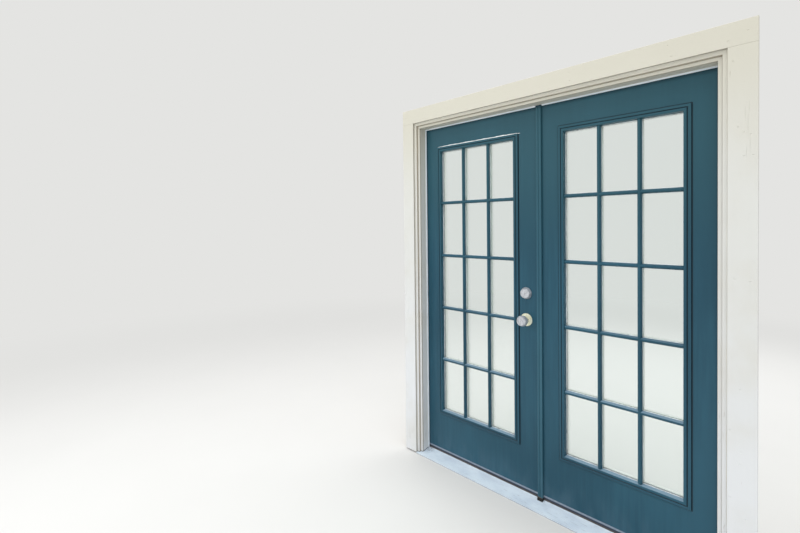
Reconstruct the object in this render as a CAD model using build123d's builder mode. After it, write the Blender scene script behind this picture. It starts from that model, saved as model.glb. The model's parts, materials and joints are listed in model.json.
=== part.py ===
import os

from build123d import *

os.makedirs("parts", exist_ok=True)

# A pair of inswing french doors in their frame, in millimetres.
# X runs to the right seen from outside, Y runs inwards, Z runs up.
# The origin is on the underside of the sill, at mid width, in the plane of the wall's outer face.

# Leaves
leaf_width = 759.0
leaf_height = 2013.0
leaf_thickness = 44.5
skin_thickness = 1.6
hinge_gap = 3.0
meeting_gap = 3.5
head_gap = 3.0

# Jambs and stops
jamb_front = 16.0
jamb_thickness = 19.0
jamb_back_margin = 0.5
stop_depth = 42.0
stop_height = 12.7
screw_radius = 2.5
screw_inset = 7.0
screw_count = 4
screw_from_bottom = 150.0
screw_from_top = 183.0

# Weatherstrip behind the stops
seal_depth = 10.0
seal_width = 18.75
seal_lip = 3.0
seal_clearance = 0.3
kerf_depth = 8.0
kerf_width = 3.4

# Brickmould and casing
brickmould_reveal = 1.0
brickmould_width = 32.0
brickmould_depth = 23.0
brickmould_step = 13.0
brickmould_band = 15.0
brickmould_round = 4.0
brickmould_ease = 2.0
casing_width = 89.0
casing_thickness = 19.0
casing_ground_gap = 8.0
board_edge_radius = 1.5

# Sill, deck and threshold cap
nose_overhang = 19.0
nose_top = 7.0
nose_lip = 5.5
deck_thickness = 2.0
deck_rise = 14.5
deck_riser = 2.0
deck_to_leaf = 2.0
cap_height = 8.0
cap_front_gap = 2.0
cap_radius = 3.0
base_setback = 7.0
flute_count = 9
flute_radius = 1.6
flute_depth = 0.8
sweep_gap = 18.5

# Door sweep
sweep_base = 3.5
sweep_fin = 3.0
sweep_clearance = 0.5
sweep_inset = 0.5
sweep_fin_count = 3

# Lite inserts and glass
stile_width = 101.5
top_rail_height = 133.0
bottom_rail_height = 218.0
surround_width = 31.0
surround_crest = 10.0
surround_lip = 2.5
surround_bead = 4.0
surround_groove = 14.5
surround_groove_radius = 2.0
surround_groove_depth = 4.5
surround_ridge_radius = 9.3
surround_slope = 3.0
lite_overlap = 16.0
lite_fit = 1.5
bar_width = 18.0
bar_crest = 5.5
bar_inset = 0.8
bar_round = 6.0
bar_ease = 2.5
bar_embed = 1.5
panes_across = 3
panes_up = 5
glass_thickness = 3.0
glass_unit_thickness = 19.0
glass_edge_clearance = 4.0
spacer_width = 7.0
spacer_setback = 3.0

# Hinges
hinge_length = 102.0
hinge_plate = 2.5
hinge_plate_depth = 32.0
hinge_corner = 10.0
hinge_knuckles = 5
hinge_knuckle_gap = 0.4
hinge_barrel_radius = 6.5
hinge_bore_radius = 4.0
hinge_pin_clearance = 0.05
hinge_standoff = 7.5
hinge_from_top = 229.0
hinge_from_bottom = 330.0
pin_head_radius = 5.5
pin_head_height = 2.5

# Astragal on the inactive leaf
web_thickness = 12.0
flange_width = 28.0
flange_depth = 12.0
flange_head_gap = 1.3
flange_foot_gap = 7.0
flange_groove_radius = 2.5
flange_edge_radius = 3.0
seal_notch_clearance = 4.0
pad_clearance = 0.5
pad_depth = 14.0
pad_crown = 7.0

# Lock
lock_margin = 8.0
knob_height = 895.0
deadbolt_spacing = 140.0
cross_bore_radius = 27.0
edge_bore_radius = 12.0
case_wall = 2.4
rose_radius = 33.5
rose_height = 8.0
rose_rim = 2.0
rose_step = 2.5
rose_shoulder = 22.0
knob_radius = 28.0
knob_reach = 63.0
knob_neck_radius = 13.0
knob_running_gap = 0.4
knob_base = 1.0
knob_collar = 14.0
knob_waist_depth = 2.0
knob_bulge = 3.5
knob_under = 13.0
knob_belly = 44.0
knob_rim = 2.0
knob_face_radius = 20.0
knob_ring_radius = 16.0
knob_ring_depth = 2.0
knob_boss_radius = 12.0
collar_radius = 31.0
collar_top_radius = 26.0
collar_height = 20.0
collar_rim = 3.0
collar_dish_width = 14.0
plug_radius = 8.0
plug_running_gap = 0.08
plug_length = 20.0
keyway_width = 2.0
keyway_height = 9.0
keyway_depth = 6.0
faceplate_height = 57.0
faceplate_width = 25.4
faceplate_thickness = 2.5
faceplate_corner = 6.0
bolt_height = 14.0
bolt_width = 11.0
latch_length = 28.0
latch_throw = 12.0
deadbolt_length = 42.0
deadbolt_throw = 25.0
bolt_setback = 0.5
bolt_clearance = 0.3
bolt_edge = 1.0
bolt_bevel_land = 2.0
latch_bevel_length = 9.0
tail_offset = 5.0
tail_height = 3.0
tail_width = 6.0
tail_overrun = 6.0
spindle_radius = 4.0
spindle_clearance = 0.3
thumbturn_length = 42.0
thumbturn_width = 9.0
thumbturn_height = 16.0
thumbturn_hub_radius = 7.5
thumbturn_round = 2.0
inner_plate_height = 6.0
inner_plate_round = 2.0

# Strike and flush bolts
strike_thickness = 1.6
strike_margin = 24.0
flush_bolt_radius = 3.5
flush_bolt_clearance = 0.1
flush_bolt_length = 180.0
flush_tab_length = 20.0
flush_tab_width = 5.0
flush_tab_inset = 8.0
top_bolt_travel = 16.0
bottom_bolt_travel = 30.0
bolt_hole_clearance = 1.0
bolt_bore_radius = 6.5
bolt_end_clearance = 4.0
keeper_length = 44.0
keeper_width = 20.0
keeper_thickness = 1.5

# Depths, from the wall's outer face inwards
stop_back = jamb_front + stop_depth
leaf_front = stop_back + seal_depth
leaf_back = leaf_front + leaf_thickness
leaf_middle = (leaf_front + leaf_back) / 2
core_front = leaf_front + skin_thickness
core_back = leaf_back - skin_thickness
jamb_back = leaf_back + jamb_back_margin
glass_front = leaf_middle - glass_unit_thickness / 2
hinge_y = leaf_back + hinge_standoff

# Widths, from the middle outwards
inner_edge = (web_thickness + meeting_gap) / 2
outer_edge = inner_edge + leaf_width
pocket_half = outer_edge + hinge_gap
stop_half = pocket_half - stop_height
jamb_half = pocket_half + jamb_thickness
brickmould_inner = stop_half + brickmould_reveal
brickmould_outer = brickmould_inner + brickmould_width
casing_outer = brickmould_outer + casing_width
hinge_x = pocket_half - hinge_gap / 2
leaf_centre = inner_edge + leaf_width / 2
web_left = inner_edge - web_thickness
web_centre = inner_edge - web_thickness / 2

# Heights, from the sill's underside up
deck_inner = leaf_front - deck_to_leaf
deck_inner_z = nose_top + deck_rise
plateau_z = deck_inner_z + deck_riser
cap_top = plateau_z + cap_height
leaf_bottom = cap_top + sweep_gap
leaf_top = leaf_bottom + leaf_height
pocket_top = leaf_top + head_gap
stop_top = pocket_top - stop_height
jamb_top = pocket_top + jamb_thickness
brickmould_low = stop_top + brickmould_reveal
brickmould_top = brickmould_low + brickmould_width
casing_top = brickmould_top + casing_width
lite_width = leaf_width - 2 * stile_width
lite_height = leaf_height - top_rail_height - bottom_rail_height
lite_top = leaf_top - top_rail_height
lite_middle = lite_top - lite_height / 2
cutout_width = lite_width - 2 * lite_overlap
cutout_height = lite_height - 2 * lite_overlap
sight_width = lite_width - 2 * surround_width
sight_height = lite_height - 2 * surround_width
knob_z = leaf_bottom + knob_height
deadbolt_z = knob_z + deadbolt_spacing
backset = stile_width - rose_radius - lock_margin
lock_x = -inner_edge - backset
screw_first = leaf_bottom + screw_from_bottom
screw_spacing = (leaf_top - screw_from_top - screw_first) / (screw_count - 1)
hinge_top_z = leaf_top - hinge_from_top
hinge_low_z = leaf_bottom + hinge_from_bottom
hinge_heights = [hinge_low_z, (hinge_low_z + hinge_top_z) / 2, hinge_top_z]
knuckle_pitch = hinge_length / hinge_knuckles
flange_front = leaf_front - flange_depth
flange_right = web_left + flange_width
flange_top = stop_top - flange_head_gap
flange_foot = cap_top + flange_foot_gap
bolt_channel = flush_bolt_radius + flush_bolt_clearance
keeper_opening = 2 * (flush_bolt_radius + bolt_hole_clearance)
bottom_bolt_tip = leaf_bottom - bottom_bolt_travel
base_hole_depth = plateau_z - deck_thickness - bottom_bolt_tip + bolt_end_clearance


def deck_z(y):
    """Height of the deck's top surface on its slope."""
    slope = deck_rise / (deck_inner + nose_overhang)
    return nose_top + (y + nose_overhang) * slope


def facing(y):
    """A plane across the doorway at depth y, with its normal pointing outside."""
    return Plane.XZ.offset(-y)


def save(piece, name):
    """Label a finished piece and write it as its own node."""
    piece.label = name
    export_step(piece, f"parts/{name}.step")


# Sill: a solid base under a fluted deck, both notched round the jambs

def notch_sill_ends():
    """Cut the sill's ends back to the jambs behind the horns."""
    with BuildSketch(Plane.XY) as ends:
        with Locations((0, (jamb_front + jamb_back) / 2)):
            Rectangle(2 * brickmould_outer, jamb_back - jamb_front)
            Rectangle(2 * pocket_half, jamb_back - jamb_front, mode=Mode.SUBTRACT)
    extrude(ends.sketch, amount=cap_top, mode=Mode.SUBTRACT)


with BuildPart() as sill_base:
    with BuildSketch(Plane.YZ) as base_profile:
        with BuildLine():
            Polyline(
                (base_setback - nose_overhang, 0),
                (base_setback - nose_overhang, deck_z(base_setback - nose_overhang) - deck_thickness),
                (deck_inner, deck_inner_z - deck_thickness),
                (leaf_front, plateau_z - deck_thickness),
                (jamb_back, plateau_z - deck_thickness),
                (jamb_back, 0),
                close=True,
            )
        make_face()
    extrude(amount=brickmould_outer, both=True)
    notch_sill_ends()
    with Locations((web_centre, leaf_middle, plateau_z - deck_thickness)):
        Hole(radius=bolt_bore_radius, depth=base_hole_depth)

with BuildPart() as sill_deck:
    with BuildSketch(Plane.YZ) as deck_profile:
        with BuildLine():
            Polyline(
                (-nose_overhang, nose_top - nose_lip),
                (-nose_overhang, nose_top),
                (deck_inner, deck_inner_z),
                (leaf_front, plateau_z),
                (jamb_back, plateau_z),
                (jamb_back, plateau_z - deck_thickness),
                (leaf_front, plateau_z - deck_thickness),
                (deck_inner, deck_inner_z - deck_thickness),
                (deck_thickness - nose_overhang, deck_z(deck_thickness - nose_overhang) - deck_thickness),
                (deck_thickness - nose_overhang, nose_top - nose_lip),
                close=True,
            )
        make_face()
        flute_pitch = (deck_inner + nose_overhang) / (flute_count + 1)
        for i in range(1, flute_count + 1):
            flute_y = i * flute_pitch - nose_overhang
            with Locations((flute_y, deck_z(flute_y) + flute_radius - flute_depth)):
                Circle(flute_radius, mode=Mode.SUBTRACT)
    extrude(amount=brickmould_outer, both=True)
    notch_sill_ends()
    with Locations((web_centre, leaf_middle, plateau_z)):
        Hole(radius=bolt_bore_radius, depth=deck_thickness)

with BuildPart() as threshold_cap:
    cap_front = leaf_front + cap_front_gap
    with BuildSketch(Plane.YZ) as cap_profile:
        with Locations(((cap_front + jamb_back) / 2, plateau_z + cap_height / 2)):
            Rectangle(jamb_back - cap_front, cap_height)
        fillet(cap_profile.vertices().group_by(Axis.Y)[-1], cap_radius)
    extrude(amount=pocket_half, both=True)
    with Locations((web_centre, leaf_middle, cap_top - keeper_thickness / 2)):
        Box(keeper_length, keeper_width, keeper_thickness, mode=Mode.SUBTRACT)
    with Locations((web_centre, leaf_middle, cap_top)):
        Hole(radius=bolt_bore_radius, depth=cap_height)

save(sill_base.part, "sill_base")
save(sill_deck.part, "sill_deck")
save(threshold_cap.part, "threshold_cap")


# Frame: boards with their stops planted on, so that each leaf closes into a rabbet

def cut_below_deck(half_width):
    """Scribe a piece to the slope of the deck, on both sides of the doorway."""
    with BuildSketch(Plane.YZ) as below:
        with BuildLine():
            Polyline(
                (-2 * nose_overhang, -1),
                (-2 * nose_overhang, deck_z(-2 * nose_overhang)),
                (deck_inner, deck_inner_z),
                (deck_inner, -1),
                close=True,
            )
        make_face()
    extrude(below.sketch, amount=half_width, both=True, mode=Mode.SUBTRACT)


def hinge_outline(low, high, z):
    """The plate of a hinge seen from the side, rounded away from its barrel."""
    middle = (low + high) / 2
    with Locations((middle, z)):
        RectangleRounded(high - low, hinge_length, hinge_corner)
    with Locations(((middle + high) / 2, z)):
        Rectangle(high - middle, hinge_length)


def side_jamb(side):
    """A side jamb's board, with its hinge mortises and screw holes."""
    with BuildPart() as board:
        with Locations((side * (pocket_half + jamb_half) / 2, (jamb_front + jamb_back) / 2, 0)):
            Box(jamb_thickness, jamb_back - jamb_front, jamb_top,
                align=(Align.CENTER, Align.CENTER, Align.MIN))
        for z in hinge_heights:
            with BuildSketch(Plane.YZ.offset(side * pocket_half)):
                hinge_outline(jamb_back - hinge_plate_depth, jamb_back, z)
            extrude(amount=side * hinge_plate, mode=Mode.SUBTRACT)
        with BuildSketch(Plane.YZ.offset(side * pocket_half)):
            for i in range(screw_count):
                with Locations((leaf_front + screw_inset, screw_first + i * screw_spacing)):
                    Circle(screw_radius)
        extrude(amount=side * jamb_thickness, mode=Mode.SUBTRACT)
    return board.part


def side_stop(side):
    """The stop on a side jamb, scribed to the deck, with the seal's kerf in its back."""
    with BuildPart() as stop:
        with Locations((side * (stop_half + pocket_half) / 2, (jamb_front + stop_back) / 2, 0)):
            Box(stop_height, stop_depth, stop_top,
                align=(Align.CENTER, Align.CENTER, Align.MIN))
        cut_below_deck(pocket_half)
        with Locations((side * (pocket_half - kerf_width), stop_back - kerf_depth / 2, 0)):
            Box(kerf_width, kerf_depth, stop_top, mode=Mode.SUBTRACT,
                align=(Align.CENTER, Align.CENTER, Align.MIN))
    return stop.part


for side, name in ((-1, "left_jamb"), (1, "right_jamb")):
    save(Compound([side_jamb(side), side_stop(side)]), name)

with BuildPart() as head_board:
    with Locations((0, (jamb_front + jamb_back) / 2, (pocket_top + jamb_top) / 2)):
        Box(2 * pocket_half, jamb_back - jamb_front, jamb_thickness)
    with Locations((web_centre, leaf_middle, pocket_top + keeper_thickness / 2)):
        Box(keeper_length, keeper_width, keeper_thickness, mode=Mode.SUBTRACT)
    with Locations((web_centre, leaf_middle, jamb_top)):
        Hole(radius=bolt_bore_radius, depth=jamb_thickness)

with BuildPart() as head_stop:
    with Locations((0, (jamb_front + stop_back) / 2, (stop_top + pocket_top) / 2)):
        Box(2 * pocket_half, stop_depth, stop_height)
    with Locations((0, stop_back - kerf_depth / 2, pocket_top - kerf_width)):
        Box(2 * pocket_half, kerf_depth, kerf_width, mode=Mode.SUBTRACT)
save(Compound([head_board.part, head_stop.part]), "head_jamb")


def keeper_plate(low_z):
    """A flat plate with a square hole for the flush bolt."""
    with BuildPart() as plate:
        with BuildSketch(Plane.XY.offset(low_z)):
            with Locations((web_centre, leaf_middle)):
                Rectangle(keeper_length, keeper_width)
                Rectangle(keeper_opening, keeper_opening, mode=Mode.SUBTRACT)
        extrude(amount=keeper_thickness)
    return plate.part


save(keeper_plate(pocket_top), "head_bolt_keeper")
save(keeper_plate(cap_top - keeper_thickness), "sill_bolt_keeper")


# Seals: a bulb behind each stop, with a tongue in its kerf

def seal_profile():
    """The seal's section: across the gap, then in depth from the stop's back."""
    bulb = seal_width - seal_lip
    depth = leaf_front - seal_clearance - stop_back
    with BuildSketch() as profile:
        with BuildLine():
            Polyline((bulb, 0), (0, 0), (0, depth), (bulb, depth))
            ThreePointArc((bulb, depth), (seal_width, depth / 2), (bulb, 0))
        make_face()
        with Locations((kerf_width, -(kerf_depth - seal_clearance) / 2)):
            Rectangle(kerf_width - seal_clearance, kerf_depth - seal_clearance)
    return profile.sketch


for side, name in ((-1, "left_weatherstrip"), (1, "right_weatherstrip")):
    with BuildPart() as seal:
        seal_plane = Plane(
            origin=(side * pocket_half, stop_back, plateau_z + seal_clearance),
            x_dir=(-side, 0, 0),
            z_dir=(0, 0, -side),
        )
        with BuildSketch(seal_plane):
            add(seal_profile())
        extrude(amount=-side * (stop_top - plateau_z - 2 * seal_clearance))
    save(seal.part, name)

with BuildPart() as head_weatherstrip:
    head_seal_half = pocket_half - seal_width
    head_seal_plane = Plane(
        origin=(-head_seal_half, stop_back, pocket_top),
        x_dir=(0, 0, -1),
        z_dir=(1, 0, 0),
    )
    with BuildSketch(head_seal_plane):
        add(seal_profile())
    extrude(amount=2 * head_seal_half)
    notch_left = web_left - seal_notch_clearance
    notch_right = flange_right + seal_notch_clearance
    with Locations(((notch_left + notch_right) / 2, (stop_back + leaf_front) / 2, stop_top)):
        Box(notch_right - notch_left, seal_depth, seal_width, mode=Mode.SUBTRACT,
            align=(Align.CENTER, Align.CENTER, Align.MAX))
save(head_weatherstrip.part, "head_weatherstrip")


# Outer trim: stepped brickmould, mitred, and flat casing boards

def brickmould_profile():
    """The moulding's section: outwards from its inner edge, then forwards from its back."""
    low_band = brickmould_depth - brickmould_step
    corner = brickmould_band + brickmould_round
    with BuildSketch() as profile:
        with BuildLine():
            Polyline((0, 0), (0, low_band - brickmould_ease), (brickmould_ease, low_band),
                     (brickmould_band, low_band), (brickmould_band, brickmould_depth - brickmould_round))
            RadiusArc((brickmould_band, brickmould_depth - brickmould_round),
                      (corner, brickmould_depth), brickmould_round)
            Polyline((corner, brickmould_depth), (brickmould_width, brickmould_depth),
                     (brickmould_width, 0), (0, 0))
        make_face()
    return profile.sketch


def mitre_plane(side):
    """The plane of the joint between a leg and the head, facing the head."""
    return Plane(origin=(side * brickmould_inner, 0, brickmould_low), z_dir=(-side, 0, 1))


for side, name in ((-1, "left_brickmould"), (1, "right_brickmould")):
    with BuildPart() as leg_moulding:
        leg_plane = Plane(
            origin=(side * brickmould_inner, jamb_front, 0),
            x_dir=(side, 0, 0),
            z_dir=(0, 0, -side),
        )
        with BuildSketch(leg_plane):
            add(brickmould_profile())
        extrude(amount=-side * brickmould_top)
        cut_below_deck(brickmould_outer)
        split(bisect_by=mitre_plane(side), keep=Keep.BOTTOM)
    save(leg_moulding.part, name)

with BuildPart() as head_brickmould:
    head_plane = Plane(
        origin=(-brickmould_outer, jamb_front, brickmould_low),
        x_dir=(0, 0, 1),
        z_dir=(1, 0, 0),
    )
    with BuildSketch(head_plane):
        add(brickmould_profile())
    extrude(amount=2 * brickmould_outer)
    split(bisect_by=mitre_plane(-1), keep=Keep.TOP)
    split(bisect_by=mitre_plane(1), keep=Keep.TOP)
save(head_brickmould.part, "head_brickmould")

for side, name in ((-1, "left_casing"), (1, "right_casing")):
    with BuildPart() as leg_board:
        with Locations((side * (brickmould_outer + casing_outer) / 2, -casing_thickness / 2,
                        (casing_ground_gap + brickmould_top) / 2)):
            Box(casing_width, casing_thickness, brickmould_top - casing_ground_gap)
        front_edges = leg_board.edges().filter_by(Axis.Z).group_by(Axis.Y)[0]
        fillet(front_edges, board_edge_radius)
    save(leg_board.part, name)

with BuildPart() as head_casing:
    with Locations((0, -casing_thickness / 2, (brickmould_top + casing_top) / 2)):
        Box(2 * casing_outer, casing_thickness, casing_width)
    fillet(head_casing.edges().filter_by(Axis.X).group_by(Axis.Y)[0], board_edge_radius)
save(head_casing.part, "head_casing")


# Hinges: each half has a mortised plate and its share of the knuckles

def hinge_half(side, face, inward, back, rows):
    """Three hinge halves on one edge, with the knuckles of the given rows."""
    with BuildPart() as half:
        for z in hinge_heights:
            with BuildSketch(Plane.YZ.offset(face)):
                hinge_outline(back - hinge_plate_depth, back, z)
            extrude(amount=inward * hinge_plate)
            for row in rows:
                row_z = z + (row - (hinge_knuckles - 1) / 2) * knuckle_pitch
                row_height = knuckle_pitch - hinge_knuckle_gap
                with Locations((face + inward * hinge_plate / 2, (back + hinge_y) / 2, row_z)):
                    Box(hinge_plate, hinge_y - back, row_height)
                with Locations((side * hinge_x, hinge_y, row_z)):
                    Cylinder(hinge_barrel_radius, row_height)
        with Locations((side * hinge_x, hinge_y, leaf_bottom)):
            Cylinder(hinge_bore_radius, leaf_height, mode=Mode.SUBTRACT,
                     align=(Align.CENTER, Align.CENTER, Align.MIN))
    return half.part


jamb_rows = range(0, hinge_knuckles, 2)
leaf_rows = range(1, hinge_knuckles, 2)

save(hinge_half(-1, -outer_edge, 1, leaf_back, leaf_rows), "active_hinge_plates")
save(hinge_half(1, outer_edge, -1, leaf_back, leaf_rows), "inactive_hinge_plates")
jamb_halves = [hinge_half(side, side * pocket_half, side, jamb_back, jamb_rows) for side in (-1, 1)]
save(jamb_halves[0] + jamb_halves[1], "jamb_hinge_plates")

with BuildPart() as hinge_pins:
    pin_length = hinge_length - hinge_knuckle_gap
    for side in (-1, 1):
        for z in hinge_heights:
            with Locations((side * hinge_x, hinge_y, z)):
                Cylinder(hinge_bore_radius - hinge_pin_clearance, pin_length)
            with Locations((side * hinge_x, hinge_y, z + pin_length / 2)):
                Cylinder(pin_head_radius, pin_head_height, align=(Align.CENTER, Align.CENTER, Align.MIN))
save(hinge_pins.part, "hinge_pins")


# Leaves: skins on a core, each with the window and, on the active leaf, the lock bores

def leaf_sheet(side, front, thickness):
    """One full layer of a leaf from a given depth inwards."""
    with BuildSketch(facing(front)) as sheet:
        with Locations((side * leaf_centre, leaf_bottom + leaf_height / 2)):
            Rectangle(leaf_width, leaf_height)
        with Locations((side * leaf_centre, lite_middle)):
            Rectangle(cutout_width, cutout_height, mode=Mode.SUBTRACT)
        if side < 0:
            with Locations((lock_x, knob_z), (lock_x, deadbolt_z)):
                Circle(cross_bore_radius, mode=Mode.SUBTRACT)
    extrude(sheet.sketch, amount=-thickness)


def cut_hinge_mortises(side):
    """Recesses for the hinge plates in the edge of a leaf."""
    with BuildSketch(Plane.YZ.offset(side * outer_edge)) as plates:
        for z in hinge_heights:
            hinge_outline(leaf_back - hinge_plate_depth, leaf_back, z)
    extrude(plates.sketch, amount=-side * hinge_plate, mode=Mode.SUBTRACT)


def faceplate_outline(z):
    """The rounded plate on the meeting edge at one height."""
    with Locations((leaf_middle, z)):
        RectangleRounded(faceplate_width, faceplate_height, faceplate_corner)


def bolt_outline(z, clearance):
    """The bolt's section seen from the meeting edge, with a clearance all round."""
    with Locations((leaf_middle, z)):
        Rectangle(bolt_width + 2 * clearance, bolt_height + 2 * clearance)


for side, leaf in ((-1, "active"), (1, "inactive")):
    with BuildPart() as outer_skin:
        leaf_sheet(side, leaf_front, skin_thickness)
    save(outer_skin.part, f"{leaf}_outer_skin")

    with BuildPart() as inner_skin:
        leaf_sheet(side, core_back, skin_thickness)
        cut_hinge_mortises(side)
    save(inner_skin.part, f"{leaf}_inner_skin")

    with BuildPart() as core:
        leaf_sheet(side, core_front, core_back - core_front)
        cut_hinge_mortises(side)
        for z, throw in ((knob_z, latch_throw), (deadbolt_z, deadbolt_throw)):
            if side < 0:
                with BuildSketch(Plane.YZ.offset(-inner_edge)):
                    faceplate_outline(z)
                extrude(amount=-faceplate_thickness, mode=Mode.SUBTRACT)
                with BuildSketch(Plane.YZ.offset(-inner_edge)):
                    with Locations((leaf_middle, z)):
                        Circle(edge_bore_radius)
                extrude(amount=-backset, mode=Mode.SUBTRACT)
            strike_depth = throw - bolt_setback - meeting_gap - web_thickness
            if side > 0 and strike_depth > 0:
                with BuildSketch(Plane.YZ.offset(inner_edge)):
                    bolt_outline(z, bolt_hole_clearance)
                extrude(amount=strike_depth + bolt_end_clearance, mode=Mode.SUBTRACT)
    save(core.part, f"{leaf}_core")

    with BuildPart() as door_sweep:
        low = leaf_front + sweep_inset
        high = leaf_back - sweep_inset
        fin_drop = leaf_bottom - cap_top - sweep_clearance
        fin_pitch = (high - low - sweep_fin) / (sweep_fin_count - 1)
        with BuildSketch(Plane.YZ.offset(side * leaf_centre)):
            with Locations(((low + high) / 2, leaf_bottom - sweep_base / 2)):
                Rectangle(high - low, sweep_base)
            for i in range(sweep_fin_count):
                with Locations((low + sweep_fin / 2 + i * fin_pitch, leaf_bottom - fin_drop / 2)):
                    Rectangle(sweep_fin, fin_drop)
        extrude(amount=leaf_width / 2 - sweep_inset, both=True)
    save(door_sweep.part, f"{leaf}_door_sweep")


# Lite inserts: a swept surround with rounded bars, and the sealed glass unit between two of them

glass_width = cutout_width - 2 * glass_edge_clearance
glass_height = cutout_height - 2 * glass_edge_clearance
glass_drop = glass_front - leaf_front
bar_height = glass_drop + bar_crest
pane_width = (sight_width - (panes_across - 1) * bar_width) / panes_across
pane_height = (sight_height - (panes_up - 1) * bar_width) / panes_up


def surround_profile():
    """The surround's section: inwards from its outer edge, then forwards from the skin."""
    low = surround_lip + surround_bead
    valley = (surround_groove, surround_crest - surround_groove_depth)
    groove_low = surround_groove - surround_groove_radius
    groove_high = surround_groove + surround_groove_radius
    ridge = surround_crest - surround_groove_radius
    inner = surround_width - surround_slope
    seat = lite_overlap + lite_fit
    with BuildSketch() as profile:
        with BuildLine():
            Line((0, 0), (0, surround_lip))
            RadiusArc((0, surround_lip), (surround_bead, low), surround_bead)
            Line((surround_bead, low), (groove_low, ridge))
            ThreePointArc((groove_low, ridge), valley, (groove_high, ridge))
            RadiusArc((groove_high, ridge), (inner, ridge), surround_ridge_radius)
            Polyline((inner, ridge), (surround_width, -glass_drop), (seat, -glass_drop), (seat, 0), (0, 0))
        make_face()
    return profile.sketch


def bar_profile(height):
    """A bar's section across its width, standing on the glass."""
    half = bar_width / 2
    shoulder = height - bar_round
    with BuildSketch() as profile:
        with BuildLine():
            Polyline((-half + bar_ease, shoulder), (-half, shoulder - bar_ease), (-half, 0),
                     (half, 0), (half, shoulder - bar_ease), (half - bar_ease, shoulder))
            ThreePointArc((half - bar_ease, shoulder), (0, height), (-half + bar_ease, shoulder))
        make_face()
    return profile.sketch


with BuildPart() as lite_frame:
    lite_low = lite_top - lite_height
    with BuildLine():
        Polyline(
            (0, leaf_front, lite_low),
            (lite_width / 2, leaf_front, lite_low),
            (lite_width / 2, leaf_front, lite_top),
            (-lite_width / 2, leaf_front, lite_top),
            (-lite_width / 2, leaf_front, lite_low),
            close=True,
        )
    with BuildSketch(Plane(origin=(0, leaf_front, lite_low), x_dir=(0, 0, 1), z_dir=(1, 0, 0))):
        add(surround_profile())
    sweep(transition=Transition.RIGHT)
    with BuildSketch(Plane(origin=(0, glass_front, lite_middle), x_dir=(1, 0, 0), z_dir=(0, 0, -1))):
        with GridLocations(pane_width + bar_width, 0, panes_across - 1, 1):
            add(bar_profile(bar_height))
    extrude(amount=sight_height / 2 + bar_embed, both=True)
    with BuildSketch(Plane(origin=(0, glass_front, lite_middle), x_dir=(0, 0, 1), z_dir=(1, 0, 0))):
        with GridLocations(pane_height + bar_width, 0, panes_up - 1, 1):
            add(bar_profile(bar_height - bar_inset))
    extrude(amount=sight_width / 2 + bar_embed, both=True)


def glass_pane(side, front):
    """One sheet of the sealed glass unit."""
    with BuildPart() as pane:
        with BuildSketch(facing(front)):
            with Locations((side * leaf_centre, lite_middle)):
                Rectangle(glass_width, glass_height)
        extrude(amount=-glass_thickness)
    return pane.part


for side, leaf in ((-1, "active"), (1, "inactive")):
    outer_frame = Pos(side * leaf_centre, 0, 0) * lite_frame.part
    inner_frame = mirror(outer_frame, about=facing(leaf_middle))
    save(outer_frame, f"{leaf}_outer_lite_frame")
    save(inner_frame, f"{leaf}_inner_lite_frame")
    save(glass_pane(side, glass_front), f"{leaf}_outer_glass")
    save(glass_pane(side, glass_front + glass_unit_thickness - glass_thickness), f"{leaf}_inner_glass")
    with BuildPart() as glass_spacer:
        with BuildSketch(facing(glass_front + glass_thickness)):
            with Locations((side * leaf_centre, lite_middle)):
                Rectangle(glass_width - 2 * spacer_setback, glass_height - 2 * spacer_setback)
                Rectangle(glass_width - 2 * (spacer_setback + spacer_width),
                          glass_height - 2 * (spacer_setback + spacer_width), mode=Mode.SUBTRACT)
        extrude(amount=2 * glass_thickness - glass_unit_thickness)
    save(glass_spacer.part, f"{leaf}_glass_spacer")


# Lock: cases and plates on the active leaf, with the knob and thumbturn sets turning in them

def turned(axis_z, profile_points):
    """A turned shape on a lock axis, from (radius, height above the outer skin) points."""
    lock_plane = Plane(origin=(lock_x, leaf_front, axis_z), x_dir=(1, 0, 0), z_dir=(0, 0, 1))
    with BuildSketch(lock_plane) as section:
        with BuildLine():
            Polyline(*[(radius, -height) for radius, height in profile_points], close=True)
        make_face()
    revolve(section.sketch, axis=Axis((lock_x, leaf_front, axis_z), (0, 1, 0)))


def case_on_edge(z):
    """A round case in the edge bore, with the bolt's way through it."""
    with BuildPart() as case:
        with BuildSketch(Plane.YZ.offset(-inner_edge - faceplate_thickness)):
            with Locations((leaf_middle, z)):
                Circle(edge_bore_radius)
                Circle(edge_bore_radius - case_wall, mode=Mode.SUBTRACT)
        extrude(amount=faceplate_thickness + cross_bore_radius - backset)
    return case.part


def faceplate_on_edge(z):
    """The rounded plate let into the edge, with an opening for the bolt."""
    with BuildPart() as plate:
        with BuildSketch(Plane.YZ.offset(-inner_edge)):
            faceplate_outline(z)
            with Locations((leaf_middle, z)):
                Rectangle(bolt_width + 2 * bolt_clearance, bolt_height + 2 * bolt_clearance,
                          mode=Mode.SUBTRACT)
        extrude(amount=-faceplate_thickness)
    return plate.part


def sliding_bolt(z, length, bevelled):
    """A bolt drawn back flush with the edge, with its tail over the spindle."""
    tip = -inner_edge - bolt_setback
    heel = tip - length
    tail_end = lock_x - tail_overrun
    with BuildPart() as bolt:
        with Locations(((tip + heel) / 2, leaf_middle, z)):
            Box(length, bolt_width, bolt_height)
        tip_edges = bolt.edges().filter_by(Axis.Z).group_by(Axis.X)[-1]
        if bevelled:
            chamfer(tip_edges.sort_by(Axis.Y)[0], latch_bevel_length, bolt_width - bolt_bevel_land)
        else:
            chamfer(tip_edges, bolt_edge)
        with Locations(((heel + tail_end) / 2, leaf_middle, z + tail_offset + tail_height / 2)):
            Box(heel - tail_end, tail_width, tail_height)
    return bolt.part


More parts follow.
